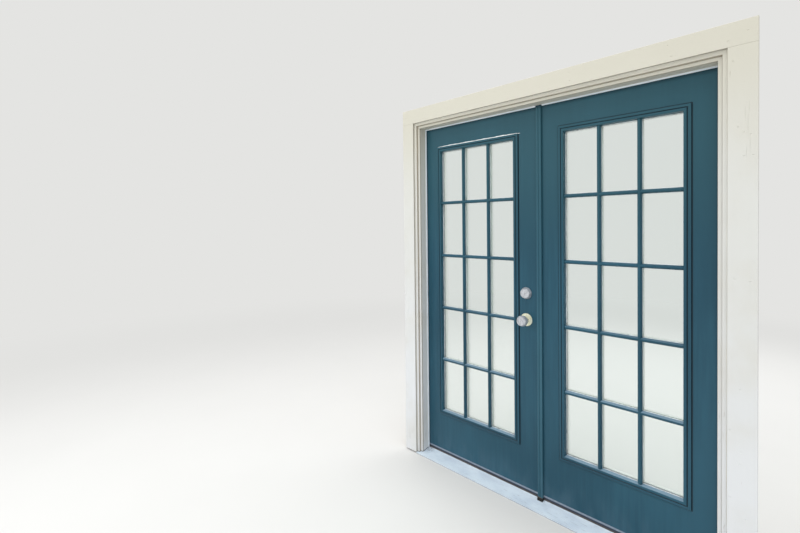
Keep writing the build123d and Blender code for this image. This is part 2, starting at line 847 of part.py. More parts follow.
save(case_on_edge(knob_z), "latch_case")
save(case_on_edge(deadbolt_z), "deadbolt_case")
save(faceplate_on_edge(knob_z), "latch_faceplate")
save(faceplate_on_edge(deadbolt_z), "deadbolt_faceplate")
save(sliding_bolt(knob_z, latch_length, True), "latch_bolt")
save(sliding_bolt(deadbolt_z, deadbolt_length, False), "deadbolt_bolt")

with BuildPart() as outer_rose:
    rose_bore = knob_neck_radius + knob_running_gap
    turned(knob_z, [
        (rose_bore, 0), (rose_radius, 0), (rose_radius, rose_rim),
        (rose_radius - rose_rim, rose_rim + rose_step), (rose_shoulder, rose_height - rose_step),
        (rose_shoulder - rose_step, rose_height), (rose_bore, rose_height),
    ])
save(outer_rose.part, "outer_rose")
save(mirror(outer_rose.part, about=facing(leaf_middle)), "inner_rose")

with BuildPart() as outer_knob:
    knob_plane = Plane(origin=(lock_x, leaf_front, knob_z), x_dir=(1, 0, 0), z_dir=(0, 0, 1))
    face = knob_reach
    waist = knob_neck_radius - knob_waist_depth
    with BuildSketch(knob_plane) as knob_section:
        with BuildLine():
            Polyline((0, -knob_base), (knob_neck_radius, -knob_base), (knob_neck_radius, -knob_collar))
            ThreePointArc((knob_neck_radius, -knob_collar), (waist, -knob_collar - knob_waist_depth * 2),
                          (knob_neck_radius, -knob_collar - knob_waist_depth * 4))
            ThreePointArc((knob_neck_radius, -knob_collar - knob_waist_depth * 4),
                          (knob_radius - knob_bulge, knob_under - knob_belly),
                          (knob_radius, -knob_belly))
            ThreePointArc((knob_radius, -knob_belly),
                          (knob_radius - knob_rim, -(knob_belly + face) / 2 - knob_rim),
                          (knob_face_radius, -face))
            Polyline((knob_face_radius, -face), (knob_ring_radius, -face), (knob_ring_radius, knob_ring_depth - face),
                     (knob_boss_radius, knob_ring_depth - face), (knob_boss_radius, -face),
                     (0, -face), (0, -knob_base))
        make_face()
    revolve(axis=Axis((lock_x, leaf_front, knob_z), (0, 1, 0)))
save(mirror(outer_knob.part, about=facing(leaf_middle)), "inner_knob")
with BuildPart() as drilled_knob:
    add(outer_knob.part)
    with BuildSketch(facing(leaf_front - knob_reach)):
        with Locations((lock_x, knob_z)):
            Circle(plug_radius)
    extrude(amount=-plug_length, mode=Mode.SUBTRACT)
save(drilled_knob.part, "outer_knob")

with BuildPart() as knob_key_plug:
    with BuildSketch(facing(leaf_front - knob_reach)):
        with Locations((lock_x, knob_z)):
            Circle(plug_radius)
            Rectangle(keyway_width, keyway_height, mode=Mode.SUBTRACT)
    extrude(amount=-keyway_depth)
    with BuildSketch(facing(leaf_front - knob_reach + keyway_depth)):
        with Locations((lock_x, knob_z)):
            Circle(plug_radius)
    extrude(amount=keyway_depth - plug_length)
save(knob_key_plug.part, "knob_key_plug")

with BuildPart() as knob_spindle:
    with BuildSketch(facing(leaf_front - knob_base)):
        with Locations((lock_x, knob_z)):
            Circle(spindle_radius)
    extrude(amount=-leaf_thickness - 2 * knob_base)
save(knob_spindle.part, "knob_spindle")

with BuildPart() as deadbolt_collar:
    collar_bore = plug_radius + plug_running_gap
    turned(deadbolt_z, [
        (collar_bore, 0), (collar_radius, 0), (collar_radius, collar_rim),
        (collar_top_radius, collar_height - collar_rim),
        (collar_top_radius - collar_rim, collar_height),
        (collar_bore + collar_dish_width, collar_height),
        (collar_bore + collar_dish_width - collar_rim, collar_height - collar_rim),
        (collar_bore, collar_height - collar_rim),
    ])
save(deadbolt_collar.part, "deadbolt_collar")

with BuildPart() as deadbolt_key_plug:
    plug_face = leaf_front - collar_height + collar_rim
    with BuildSketch(facing(plug_face)):
        with Locations((lock_x, deadbolt_z)):
            Circle(plug_radius)
            Rectangle(keyway_width, keyway_height, mode=Mode.SUBTRACT)
    extrude(amount=-keyway_depth)
    with BuildSketch(facing(plug_face + keyway_depth)):
        with Locations((lock_x, deadbolt_z)):
            Circle(plug_radius)
    extrude(amount=plug_face + keyway_depth - core_front)
save(deadbolt_key_plug.part, "deadbolt_key_plug")

with BuildPart() as deadbolt_inner_plate:
    with BuildSketch(facing(leaf_back)):
        with Locations((lock_x, deadbolt_z)):
            Circle(collar_radius)
            Circle(spindle_radius + spindle_clearance, mode=Mode.SUBTRACT)
    extrude(amount=-inner_plate_height)
    fillet(deadbolt_inner_plate.edges().filter_by(GeomType.CIRCLE).group_by(Axis.Y)[-1].sort_by(SortBy.RADIUS)[-1],
           inner_plate_round)
save(deadbolt_inner_plate.part, "deadbolt_inner_plate")

with BuildPart() as deadbolt_thumbturn:
    wing_front = leaf_back + inner_plate_height + spindle_clearance
    with BuildSketch(facing(core_front)):
        with Locations((lock_x, deadbolt_z)):
            Circle(spindle_radius)
    extrude(amount=core_front - wing_front)
    with BuildSketch(facing(wing_front)):
        with Locations((lock_x, deadbolt_z)):
            SlotOverall(thumbturn_length, thumbturn_width, rotation=90)
            Circle(thumbturn_hub_radius)
    extrude(amount=-thumbturn_height)
    fillet(deadbolt_thumbturn.faces().sort_by(Axis.Y)[-1].edges(), thumbturn_round)
save(deadbolt_thumbturn.part, "deadbolt_thumbturn")


# Astragal: a web of strips on the inactive leaf's edge, with a ribbed flange outside it

strike_low = knob_z - strike_margin
strike_high = deadbolt_z + strike_margin
top_bolt_low = leaf_top - flush_bolt_length
top_tab_low = top_bolt_low + flush_tab_inset
bottom_tab_low = leaf_bottom + flush_bolt_length - flush_tab_inset - flush_tab_length
top_groove_low = top_bolt_low - bolt_clearance
bottom_groove_high = leaf_bottom + flush_bolt_length + bolt_clearance


def web_strip(left, front, back, low, high):
    """A strip of the web with its share of the strike's recess and bolt holes."""
    with BuildPart() as strip:
        with Locations(((left + inner_edge) / 2, (front + back) / 2, low)):
            Box(inner_edge - left, back - front, high - low,
                align=(Align.CENTER, Align.CENTER, Align.MIN))
        with Locations((web_left + strike_thickness / 2, leaf_middle, (strike_low + strike_high) / 2)):
            Box(strike_thickness, faceplate_width, strike_high - strike_low, mode=Mode.SUBTRACT)
        with BuildSketch(Plane.YZ.offset(web_left)):
            bolt_outline(knob_z, bolt_hole_clearance)
            bolt_outline(deadbolt_z, bolt_hole_clearance)
        extrude(amount=web_thickness, mode=Mode.SUBTRACT)
    return strip.part


with BuildPart() as flange:
    with BuildSketch(Plane.XY.offset(flange_foot)) as flange_section:
        with Locations(((web_left + flange_right) / 2, (flange_front + leaf_front) / 2)):
            Rectangle(flange_width, flange_depth)
        fillet(flange_section.vertices().group_by(Axis.Y)[0], flange_edge_radius)
        with Locations(((web_left + flange_right) / 2, flange_front)):
            Circle(flange_groove_radius, mode=Mode.SUBTRACT)
    extrude(amount=flange_top - flange_foot)

groove_front = leaf_middle - bolt_channel
groove_back = leaf_middle + bolt_channel
groove_floor = web_centre + bolt_channel
save(Compound([
    flange.part,
    web_strip(web_left, leaf_front, groove_front, leaf_bottom, leaf_top),
    web_strip(web_left, groove_back, leaf_back, leaf_bottom, leaf_top),
    web_strip(web_left, groove_front, groove_back, bottom_groove_high, top_groove_low),
    web_strip(groove_floor, groove_front, groove_back, top_groove_low, leaf_top),
    web_strip(groove_floor, groove_front, groove_back, leaf_bottom, bottom_groove_high),
]), "astragal")

with BuildPart() as lock_strike:
    with BuildSketch(Plane.YZ.offset(web_left)):
        with Locations((leaf_middle, (strike_low + strike_high) / 2)):
            Rectangle(faceplate_width, strike_high - strike_low)
        for z in (knob_z, deadbolt_z):
            with Locations((leaf_middle, z)):
                Rectangle(bolt_width + 2 * bolt_clearance, bolt_height + 2 * bolt_clearance,
                          mode=Mode.SUBTRACT)
    extrude(amount=strike_thickness)
save(lock_strike.part, "lock_strike")


def flush_bolt(low_z, tab_low):
    """A round bolt with a finger tab on the meeting side."""
    with BuildPart() as bolt:
        with Locations((web_centre, leaf_middle, low_z)):
            Cylinder(flush_bolt_radius, flush_bolt_length, align=(Align.CENTER, Align.CENTER, Align.MIN))
        tab_left = web_left + bolt_clearance
        with Locations(((tab_left + web_centre) / 2, leaf_middle, tab_low)):
            Box(web_centre - tab_left, flush_tab_width, flush_tab_length,
                align=(Align.CENTER, Align.CENTER, Align.MIN))
    return bolt.part


save(flush_bolt(top_bolt_low, top_tab_low), "top_flush_bolt")
save(flush_bolt(leaf_bottom, bottom_tab_low), "bottom_flush_bolt")

with BuildPart() as astragal_sill_pad:
    pad_front = deck_inner - pad_depth
    pad_top = flange_foot - pad_clearance
    pad_shoulder_z = pad_top - pad_crown
    with BuildSketch(Plane.YZ.offset(web_left)):
        with BuildLine():
            Polyline((pad_front, pad_shoulder_z), (pad_front, deck_z(pad_front)),
                     (deck_inner, deck_inner_z), (deck_inner, pad_shoulder_z))
            ThreePointArc((deck_inner, pad_shoulder_z), (deck_inner - pad_depth / 2, pad_top),
                          (pad_front, pad_shoulder_z))
        make_face()
    extrude(amount=flange_width)
save(astragal_sill_pad.part, "astragal_sill_pad")
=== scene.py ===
"""Teal french doors in their white frame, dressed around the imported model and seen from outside."""

import json
import math
import random

import bmesh
import bpy
from mathutils import Matrix, Vector


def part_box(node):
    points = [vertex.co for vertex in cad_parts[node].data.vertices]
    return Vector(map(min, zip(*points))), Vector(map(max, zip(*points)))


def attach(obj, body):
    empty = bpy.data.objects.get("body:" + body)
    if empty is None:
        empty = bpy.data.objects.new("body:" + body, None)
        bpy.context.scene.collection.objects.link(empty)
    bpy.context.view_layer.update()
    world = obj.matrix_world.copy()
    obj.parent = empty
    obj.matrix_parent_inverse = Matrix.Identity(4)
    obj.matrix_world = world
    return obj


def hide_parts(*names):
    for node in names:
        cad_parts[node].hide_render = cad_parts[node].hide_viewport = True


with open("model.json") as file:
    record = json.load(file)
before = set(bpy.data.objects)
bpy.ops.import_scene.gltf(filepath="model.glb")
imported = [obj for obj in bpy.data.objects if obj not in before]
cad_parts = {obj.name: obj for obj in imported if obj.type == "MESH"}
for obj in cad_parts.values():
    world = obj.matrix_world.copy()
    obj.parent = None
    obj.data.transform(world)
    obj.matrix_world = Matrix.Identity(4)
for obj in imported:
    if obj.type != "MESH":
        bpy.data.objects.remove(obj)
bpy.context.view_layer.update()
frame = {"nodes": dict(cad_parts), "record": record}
nodes = frame["nodes"]

# Places and sizes on the frame, in metres, as the model has them
MOULD_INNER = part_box("right_brickmould")[0].x
MOULD_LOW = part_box("head_brickmould")[1].z - (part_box("right_brickmould")[1].x - MOULD_INNER)
MOULD_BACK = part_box("right_brickmould")[1].y
MOULD_STEP = 0.015
MOULD_WIDTH = 0.032
TRIM_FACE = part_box("right_casing")[0].y
OPENING_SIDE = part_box("right_jamb")[0].x
JAMB_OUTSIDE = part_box("right_jamb")[1].x
JAMB_THICKNESS = 0.019
SILL_SLOPE = 0.1706
SILL_NOSE_HEIGHT = 0.007
HINGE_HEIGHTS = (0.380, 1.107, 1.834)

# Places and sizes on the leaves. Both lite frames are alike, so the inactive one stands for both
OUTER_GLASS_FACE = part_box("active_outer_glass")[0].y
OUTER_SKIN_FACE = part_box("active_outer_skin")[0].y
INNER_SKIN_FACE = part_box("active_inner_skin")[1].y
LEAF_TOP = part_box("active_core")[1].z
LITE_LOW, LITE_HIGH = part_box("inactive_outer_lite_frame")
LITE_MIDDLE = (LITE_LOW + LITE_HIGH) / 2
PANES_ACROSS = 3
PANES_UP = 5
SURROUND_WIDTH = 0.031
SURROUND_GROOVE = 0.0145
BAR_WIDTH = 0.018
SEALANT_WIDTH = 0.0024
DARK_JOINT = 0.0030
SWEEP_FINS_TOP = 0.042


# Materials: maths on values is written as plain expressions

class Wire:
    """A value, vector or colour on its way through a material."""

    def __init__(self, finish, socket):
        self.finish = finish
        self.socket = socket

    def with_math(self, operation, first, second):
        return self.finish.node("ShaderNodeMath", {"operation": operation}, {0: first, 1: second})

    def __add__(self, other):
        return self.with_math("ADD", self, other)

    def __sub__(self, other):
        return self.with_math("SUBTRACT", self, other)

    def __rsub__(self, other):
        return self.with_math("SUBTRACT", other, self)

    def __mul__(self, other):
        return self.with_math("MULTIPLY", self, other)

    def __abs__(self):
        return self.with_math("ABSOLUTE", self, 0.0)

    __radd__ = __add__
    __rmul__ = __mul__

    def larger(self, other):
        return self.with_math("MAXIMUM", self, other)

    def smaller(self, other):
        return self.with_math("MINIMUM", self, other)

    def line(self, centre, width):
        """1 on a line at one value, fading to 0 by its width."""
        return abs(self - centre).fall(width * 0.45, width)

    def rise(self, low, high):
        """0 below low, 1 above high, and a smooth step between them."""
        return self.finish.node("ShaderNodeMapRange", {"interpolation_type": "SMOOTHSTEP"},
                                {"Value": self, "From Min": low, "From Max": high})

    def fall(self, low, high):
        """1 below low, 0 above high, and a smooth step between them."""
        return 1 - self.rise(low, high)


class Finish:
    """One material: its Principled shader, and the nodes that feed it."""

    def __init__(self, name, constants):
        self.material = bpy.data.materials.new(name)
        self.material.use_nodes = True
        self.tree = self.material.node_tree
        self.shader = self.tree.nodes["Principled BSDF"]
        for socket, value in constants.items():
            self.shader.inputs[socket].default_value = value
        self.place = self.node("ShaderNodeTexCoord", output="Object")
        self.x, self.y, self.z = self.parts_of(self.place)

    def node(self, kind, settings=None, inputs=None, output=0):
        made = self.tree.nodes.new(kind)
        for key, value in (settings or {}).items():
            setattr(made, key, value)
        for key, value in (inputs or {}).items():
            self.feed(made.inputs[key], value)
        return Wire(self, made.outputs[output])

    def feed(self, socket, value):
        if isinstance(value, Wire):
            self.tree.links.new(value.socket, socket)
        else:
            socket.default_value = value

    def parts_of(self, vector):
        split = self.node("ShaderNodeSeparateXYZ", inputs={"Vector": vector}).socket.node
        return [Wire(self, output) for output in split.outputs]

    def stretched(self, scale, offset=0.0):
        return self.node("ShaderNodeMapping", inputs={"Vector": self.place, "Scale": scale,
                                                      "Location": (offset, offset, offset)})

    def noise(self, size, stretch=(1, 1, 1), detail=3.0, offset=0.0):
        """Soft variation about 0.5, with features of one size in metres."""
        return self.node("ShaderNodeTexNoise", inputs={"Vector": self.stretched(stretch, offset),
                                                       "Scale": 1 / size, "Detail": detail})

    def spots(self, size, stretch=(1, 1, 1), offset=0.0):
        """Distance from scattered points, in cells of one size in metres."""
        return self.node("ShaderNodeTexVoronoi", inputs={"Vector": self.stretched(stretch, offset),
                                                         "Scale": 1 / size})

    def blend(self, factor, first, second):
        return self.node("ShaderNodeMix", {"data_type": "RGBA"}, {0: factor, 6: first, 7: second},
                         output=2)

    def facing(self):
        """The parts of the surface's own normal."""
        return self.parts_of(self.node("ShaderNodeNewGeometry", output="Normal"))

    def wear(self, colour, roughness, height, depth, strength=1.0):
        """Feed the shader with what varies: colour, roughness, and a relief of a depth in metres."""
        self.feed(self.shader.inputs["Base Color"], colour)
        self.feed(self.shader.inputs["Roughness"], roughness)
        relief = self.node("ShaderNodeBump", inputs={"Height": height, "Distance": depth,
                                                     "Strength": strength})
        self.feed(self.shader.inputs["Normal"], relief)
        return self.material


def shade(red, green, blue):
    """A colour written in 0 to 255 steps, for a shader."""
    def channel(step):
        part = step / 255
        return part / 12.92 if part <= 0.04045 else ((part + 0.055) / 1.055) ** 2.4

    return (channel(red), channel(green), channel(blue), 1.0)


UPRIGHT = (1, 1, 0.06)
LEVEL = (0.06, 1, 1)


def from_lite_edge(coat):
    """How far inside the outline of its leaf's lite frame a point lies."""
    across = (LITE_HIGH.x - LITE_MIDDLE.x) - abs(abs(coat.x) - LITE_MIDDLE.x)
    upwards = (LITE_HIGH.z - LITE_MIDDLE.z) - abs(coat.z - LITE_MIDDLE.z)
    return across.smaller(upwards)


def teal_paint(name, light, dark):
    """Satin teal, rolled on: soft clouds and faint upright runs, greener high up, with dust low down,
    painted sky reflection on upward faces, and painted shade in the joints of the lite surround,
    beside the jambs and under the head."""
    coat = Finish(name, {"Specular IOR Level": 0.32})
    clouds = coat.noise(0.45, (1, 1, 0.45), detail=2.0)
    runs = coat.noise(0.014, UPRIGHT, detail=2.0, offset=3.1)
    roller = coat.noise(0.0022, detail=1.0)
    colour = coat.blend((clouds * 0.75 + runs * 0.25).rise(0.36, 0.64), shade(*dark), shade(*light))
    colour = coat.blend(coat.z.rise(1.1, 1.9) * 0.65, colour, shade(41, 82, 92))
    # Painted sky reflection: upward faces are lightened to pale blue, more so lower down; the same pale
    # blue also serves as real dust low down.
    upward = coat.facing()[2].rise(0.35, 0.85)
    grime = coat.noise(0.05, (1, 1, 0.3), detail=4.0, offset=7.7)
    dust = coat.z.fall(0.05, 0.20) * grime.rise(0.35, 0.75) * 0.10
    ledge_sky_reflection = upward * (0.08 + coat.z.fall(0.5, 1.2) * 0.7)
    colour = coat.blend(dust.larger(ledge_sky_reflection), colour, shade(134, 160, 180))
    # Painted shade: a dark line in the surround's groove and along its outer joint with the skin.
    inside = from_lite_edge(coat)
    joints = inside.line(SURROUND_GROOVE, DARK_JOINT).larger(inside.line(-0.0008, DARK_JOINT))
    # Painted shade: darker beside the jambs and under the head, in the same dark teal as the joints.
    shade_beside_jamb = abs(coat.x).rise(OPENING_SIDE - 0.019, OPENING_SIDE - 0.001)
    shade_under_head = coat.z.rise(LEAF_TOP - 0.035, LEAF_TOP - 0.016)
    edges = shade_beside_jamb.larger(shade_under_head) * 0.5
    colour = coat.blend(joints.larger(edges) * 0.9, colour, shade(12, 30, 40))
    specked = coat.noise(0.2, offset=5.0).rise(0.5, 0.6)
    specks = coat.spots(0.06, offset=1.3).fall(0.012, 0.022) * specked
    colour = coat.blend(specks * 0.35, colour, shade(150, 168, 172))
    return coat.wear(colour, 0.30 + runs * 0.14 + dust * 0.5, roller * 0.6 + runs * 0.9, 0.0004, 0.5)


def trim_paint(name, along):
    """Old warm white gloss over wood: brush marks and grain, with painted light and shade that make it
    darker and yellower high up, stained low down, with a dark line along the sill, painted shade in the
    steps of the moulding, and bare wood behind."""
    coat = Finish(name, {"Specular IOR Level": 0.35})
    brush = coat.noise(0.0028, along, detail=3.0)
    grain = coat.noise(0.006, along, detail=5.0, offset=2.2)
    clouds = coat.noise(0.22, detail=3.0, offset=4.0)
    # Painted light and shade: the white goes darker up the trim and yellower at the top, for dimmer,
    # warmer light high up.
    high = coat.z.rise(1.5, 2.16)
    colour = coat.blend(coat.z.rise(0.2, 1.6), shade(221, 224, 227), shade(211, 212, 208))
    colour = coat.blend(high * 0.85, colour, shade(197, 194, 179))
    colour = coat.blend(clouds.rise(0.42, 0.75) * 0.35, colour, shade(203, 200, 188))
    cracked = coat.noise(0.09, offset=6.1).rise(0.52, 0.66)
    cracks = coat.noise(0.0035, along, detail=6.0, offset=9.0).rise(0.645, 0.70) * cracked
    colour = coat.blend(cracks * 0.45, colour, shade(150, 140, 120))
    stains = coat.noise(0.035, (1, 1, 0.5), detail=4.0, offset=8.0).rise(0.52, 0.74)
    stains = stains * coat.z.fall(0.02, 0.30)
    colour = coat.blend(stains * 0.22, colour, shade(166, 162, 154))
    # A thin ragged dark line along the foot of the trim where it meets the sill.
    above_sill = coat.z - (coat.y - TRIM_FACE) * SILL_SLOPE - SILL_NOSE_HEIGHT
    ragged = coat.noise(0.012, offset=5.0) * 0.004
    behind_face = coat.y.rise(TRIM_FACE + 0.0001, TRIM_FACE + 0.0009)
    dark_sill_line = (above_sill - ragged).fall(0.0006, 0.0026) * behind_face
    colour = coat.blend(dark_sill_line * 0.9, colour, shade(38, 34, 36))
    # Painted shade: dark lines in the steps and at both borders of the brickmould.
    outwards = (abs(coat.x) - MOULD_INNER).larger(coat.z - MOULD_LOW)
    borders = outwards.line(MOULD_WIDTH, 0.0016).larger(outwards.line(0, 0.0016))
    on_mould = coat.y.fall(MOULD_BACK - 0.002, MOULD_BACK + 0.001)
    steps = outwards.line(MOULD_STEP, 0.0022).larger(borders) * on_mould
    colour = coat.blend(steps * 0.6, colour, shade(138, 132, 118))
    casing_back = coat.y.rise(-0.0012, -0.0004) * coat.y.fall(0.0004, 0.0012)
    jamb_outside = abs(coat.x).rise(JAMB_OUTSIDE - 0.00075, JAMB_OUTSIDE - 0.00015)
    bare = casing_back.larger(jamb_outside * coat.y.rise(MOULD_BACK - 0.0002, MOULD_BACK + 0.0006))
    pine = coat.blend(grain.rise(0.35, 0.68), shade(205, 170, 122), shade(168, 128, 84))
    colour = coat.blend(bare, colour, pine)
    return coat.wear(colour, 0.36 + clouds * 0.12 + bare * 0.35,
                     brush * 0.6 + grain * 0.7 - cracks * 0.9, 0.0006, 0.55)


def white_paint(name, along, light, dark):
    """Clean satin white on the room side, with light scuffs near the floor."""
    coat = Finish(name, {"Specular IOR Level": 0.4})
    brush = coat.noise(0.005, along, detail=2.0)
    clouds = coat.noise(0.3, detail=2.0, offset=2.0)
    scuffs = coat.noise(0.03, (0.5, 1, 1), detail=5.0, offset=5.5).rise(0.58, 0.72)
    scuffs = scuffs * coat.z.fall(0.1, 0.5)
    colour = coat.blend(clouds.rise(0.3, 0.7), shade(*light), shade(*dark))
    colour = coat.blend(scuffs * 0.4, colour, shade(150, 148, 144))
    return coat.wear(colour, 0.34 + clouds * 0.1, brush, 0.0004, 0.4)


def slab_edge():
    """The wood edge of a leaf, sealed, with teal over its outer arris and white over its inner one."""
    wood = Finish("slab_edge_wood", {"Specular IOR Level": 0.3})
    grain = wood.noise(0.004, (1, 1, 0.03), detail=5.0)
    bands = wood.noise(0.02, (1, 1, 0.05), detail=2.0, offset=3.0)
    colour = wood.blend(grain.rise(0.3, 0.7), shade(190, 160, 118), shade(150, 116, 76))
    colour = wood.blend(bands.rise(0.45, 0.7) * 0.4, colour, shade(128, 96, 62))
    ragged = wood.noise(0.008, (1, 1, 0.3), offset=6.0) * 0.006
    teal_side = (wood.y + ragged).fall(OUTER_SKIN_FACE + 0.012, OUTER_SKIN_FACE + 0.0135)
    white_side = (wood.y - ragged).rise(INNER_SKIN_FACE - 0.0125, INNER_SKIN_FACE - 0.011)
    colour = wood.blend(teal_side, colour, shade(42, 76, 86))
    colour = wood.blend(white_side, colour, shade(214, 214, 208))
    return wood.wear(colour, 0.6 - teal_side * 0.25, grain, 0.0005, 0.5)


def bare_metal(name, bright, dull, roughness, along=(1, 1, 1), worn=0.5, tarnish=(120, 112, 96),
               metallic=1.0):
    """Metal with a brushed grain, dull patches and fine pits."""
    metal = Finish(name, {"Metallic": metallic})
    grain = metal.noise(0.0012, along, detail=2.0)
    patches = metal.noise(0.012, detail=4.0, offset=2.0)
    pits = metal.spots(0.0035, offset=4.0).fall(0.06, 0.16) * patches.rise(0.5, 0.62)
    colour = metal.blend(patches.rise(0.35, 0.68), shade(*bright), shade(*dull))
    colour = metal.blend(pits * worn, colour, shade(*tarnish))
    return metal.wear(colour, roughness + patches * 0.16 + pits * 0.2, grain * 0.5 - pits, 0.0002, 0.5)


def sill_metal():
    """Mill finish aluminium on the sill: drawn along its length, with scuffs, water marks and grit, and
    painted shade under its nose.
    """
    metal = Finish("fluted_sill_aluminium", {"Metallic": 0.15, "Specular IOR Level": 0.5})
    drawn = metal.noise(0.0016, (0.02, 1, 1), detail=3.0)
    scuffs = metal.noise(0.004, (0.12, 1, 1), detail=5.0, offset=3.0).rise(0.60, 0.70)
    water = metal.noise(0.07, (0.6, 1, 1), detail=5.0, offset=6.0)
    gritty = metal.noise(0.05, offset=9.0).rise(0.45, 0.6)
    grit = metal.spots(0.009, offset=2.0).fall(0.05, 0.10) * gritty
    colour = metal.blend(water.rise(0.35, 0.70), shade(224, 238, 249), shade(208, 223, 237))
    colour = metal.blend(scuffs * 0.4, colour, shade(150, 158, 168))
    colour = metal.blend(grit * 0.55, colour, shade(88, 80, 70))
    corner = metal.x.fall(-0.750, -0.690) * metal.y.rise(0.000, 0.050)
    litter = corner * metal.noise(0.007, offset=1.0).rise(0.46, 0.60)
    colour = metal.blend(litter * 0.85, colour, shade(70, 56, 58))
    # Painted shade: a dark band along the bottom of the nose.
    shade_under_nose = metal.z.fall(0.0020, 0.0042)
    colour = metal.blend(shade_under_nose * 0.7, colour, shade(84, 88, 94))
    relief = drawn * 0.6 - scuffs * 0.6 + grit
    return metal.wear(colour, 0.34 + water * 0.2 + grit * 0.3, relief, 0.0003, 0.6)


def moulded(name, light, dark, roughness, size=0.004, dusty=0.3, relief=0.0002):
    """Moulded vinyl, rubber or sealant: a fine skin, slow clouds and settled dust."""
    skin = Finish(name, {"Specular IOR Level": 0.35})
    fine = skin.noise(size, detail=3.0)
    clouds = skin.noise(0.06, (0.4, 1, 0.4), detail=3.0, offset=3.0)
    colour = skin.blend(clouds.rise(0.32, 0.68), shade(*light), shade(*dark))
    dust = skin.facing()[2].rise(0.5, 0.9) * fine.rise(0.3, 0.7) * dusty
    colour = skin.blend(dust, colour, shade(168, 164, 156))
    return skin.wear(colour, roughness + clouds * 0.12, fine, relief, 0.6)


def sweep():
    """The vinyl door sweep: dusty grey above, with painted shade darkening its lower half."""
    vinyl = Finish("grey_sweep_vinyl", {"Specular IOR Level": 0.35})
    fine = vinyl.noise(0.004, (0.3, 1, 1), detail=3.0)
    colour = vinyl.blend(fine.rise(0.3, 0.7), shade(146, 158, 172), shade(120, 132, 148))
    # Painted shade: the lower half of the sweep is darkened.
    fin_shade = (vinyl.z + fine * 0.003).fall(SWEEP_FINS_TOP - 0.0015, SWEEP_FINS_TOP + 0.0015)
    colour = vinyl.blend(fin_shade, colour, shade(52, 58, 72))
    return vinyl.wear(colour, 0.45 + fine * 0.15, fine, 0.0002, 0.6)


def clear_glass():
    """Float glass: clear and smooth, with a faint film of dust, letting soft light straight through."""
    glass = Finish("clear_float_glass", {"Transmission Weight": 1.0, "IOR": 1.46,
                                         "Base Color": shade(248, 251, 250)})
    film = glass.noise(0.08, (1, 1, 0.6), detail=4.0).rise(0.45, 0.85) * 0.06
    glass.feed(glass.shader.inputs["Roughness"], film)
    shadow_ray = glass.node("ShaderNodeLightPath", output="Is Shadow Ray")
    soft_ray = shadow_ray.larger(glass.node("ShaderNodeLightPath", output="Is Diffuse Ray"))
    through = glass.node("ShaderNodeBsdfTransparent", inputs={"Color": shade(250, 253, 252)})
    solid = Wire(glass, glass.shader.outputs[0])
    shown = glass.node("ShaderNodeMixShader", inputs={0: soft_ray, 1: solid, 2: through})
    glass.feed(glass.tree.nodes["Material Output"].inputs["Surface"], shown)
    return glass.material


def spacer_bar():
    """The spacer between the panes: pale aluminium with fine slots."""
    metal = Finish("perforated_spacer", {"Metallic": 0.6})
    slots = metal.spots(0.004).fall(0.10, 0.16)
    clouds = metal.noise(0.02, detail=3.0)
    colour = metal.blend(clouds.rise(0.3, 0.7), shade(184, 187, 190), shade(168, 171, 176))
    colour = metal.blend(slots * 0.8, colour, shade(60, 60, 62))
    return metal.wear(colour, 0.4 + clouds * 0.1, slots * -1.0, 0.0002, 0.5)


teal_door = teal_paint("teal_door_paint", (38, 84, 103), (28, 71, 89))
teal_insert = teal_paint("teal_insert_paint", (38, 84, 103), (28, 71, 89))
teal_post = teal_paint("teal_astragal_paint", (54, 98, 114), (42, 85, 102))
trim_upright = trim_paint("white_trim_upright", UPRIGHT)
trim_level = trim_paint("white_trim_level", LEVEL)
room_white = white_paint("room_side_white", UPRIGHT, (226, 226, 222), (219, 219, 214))
room_moulding = white_paint("room_side_moulding", (1, 1, 1), (238, 238, 235), (230, 230, 226))
edge_wood = slab_edge()
pane = clear_glass()
spacer = spacer_bar()
sill_face = sill_metal()
steel = bare_metal("zinc_plated_steel", (188, 190, 192), (166, 168, 172), 0.30, along=(1, 1, 0.1))
hinge_metal = bare_metal("satin_hinge_brass", (206, 182, 128), (184, 158, 104), 0.30,
                         along=(1, 1, 0.1))
nickel = bare_metal("worn_nickel", (208, 211, 217), (184, 187, 193), 0.28, worn=0.8,
                    tarnish=(132, 122, 100), metallic=0.55)
brass = bare_metal("pale_worn_brass", (244, 246, 226), (228, 227, 192), 0.28, worn=0.6,
                   tarnish=(150, 126, 80), metallic=0.45)
seal_white = moulded("white_foam_seal", (226, 234, 240), (208, 218, 226), 0.55, dusty=0.1)
sweep_vinyl = sweep()
composite = moulded("sill_composite", (74, 70, 66), (56, 53, 50), 0.7, size=0.003, dusty=0.5,
                    relief=0.0005)
cap = moulded("threshold_cap_vinyl", (92, 88, 84), (74, 70, 67), 0.45, dusty=0.5)
rubber = moulded("black_rubber", (34, 33, 33), (24, 24, 24), 0.7, dusty=0.4, relief=0.0004)
sealant = moulded("white_sealant", (240, 244, 245), (224, 230, 232), 0.4, size=0.006, dusty=0.0,
                  relief=0.0006)
caulk = moulded("trim_caulk", (220, 219, 212), (206, 203, 192), 0.5, size=0.006, dusty=0.2,
                relief=0.0008)

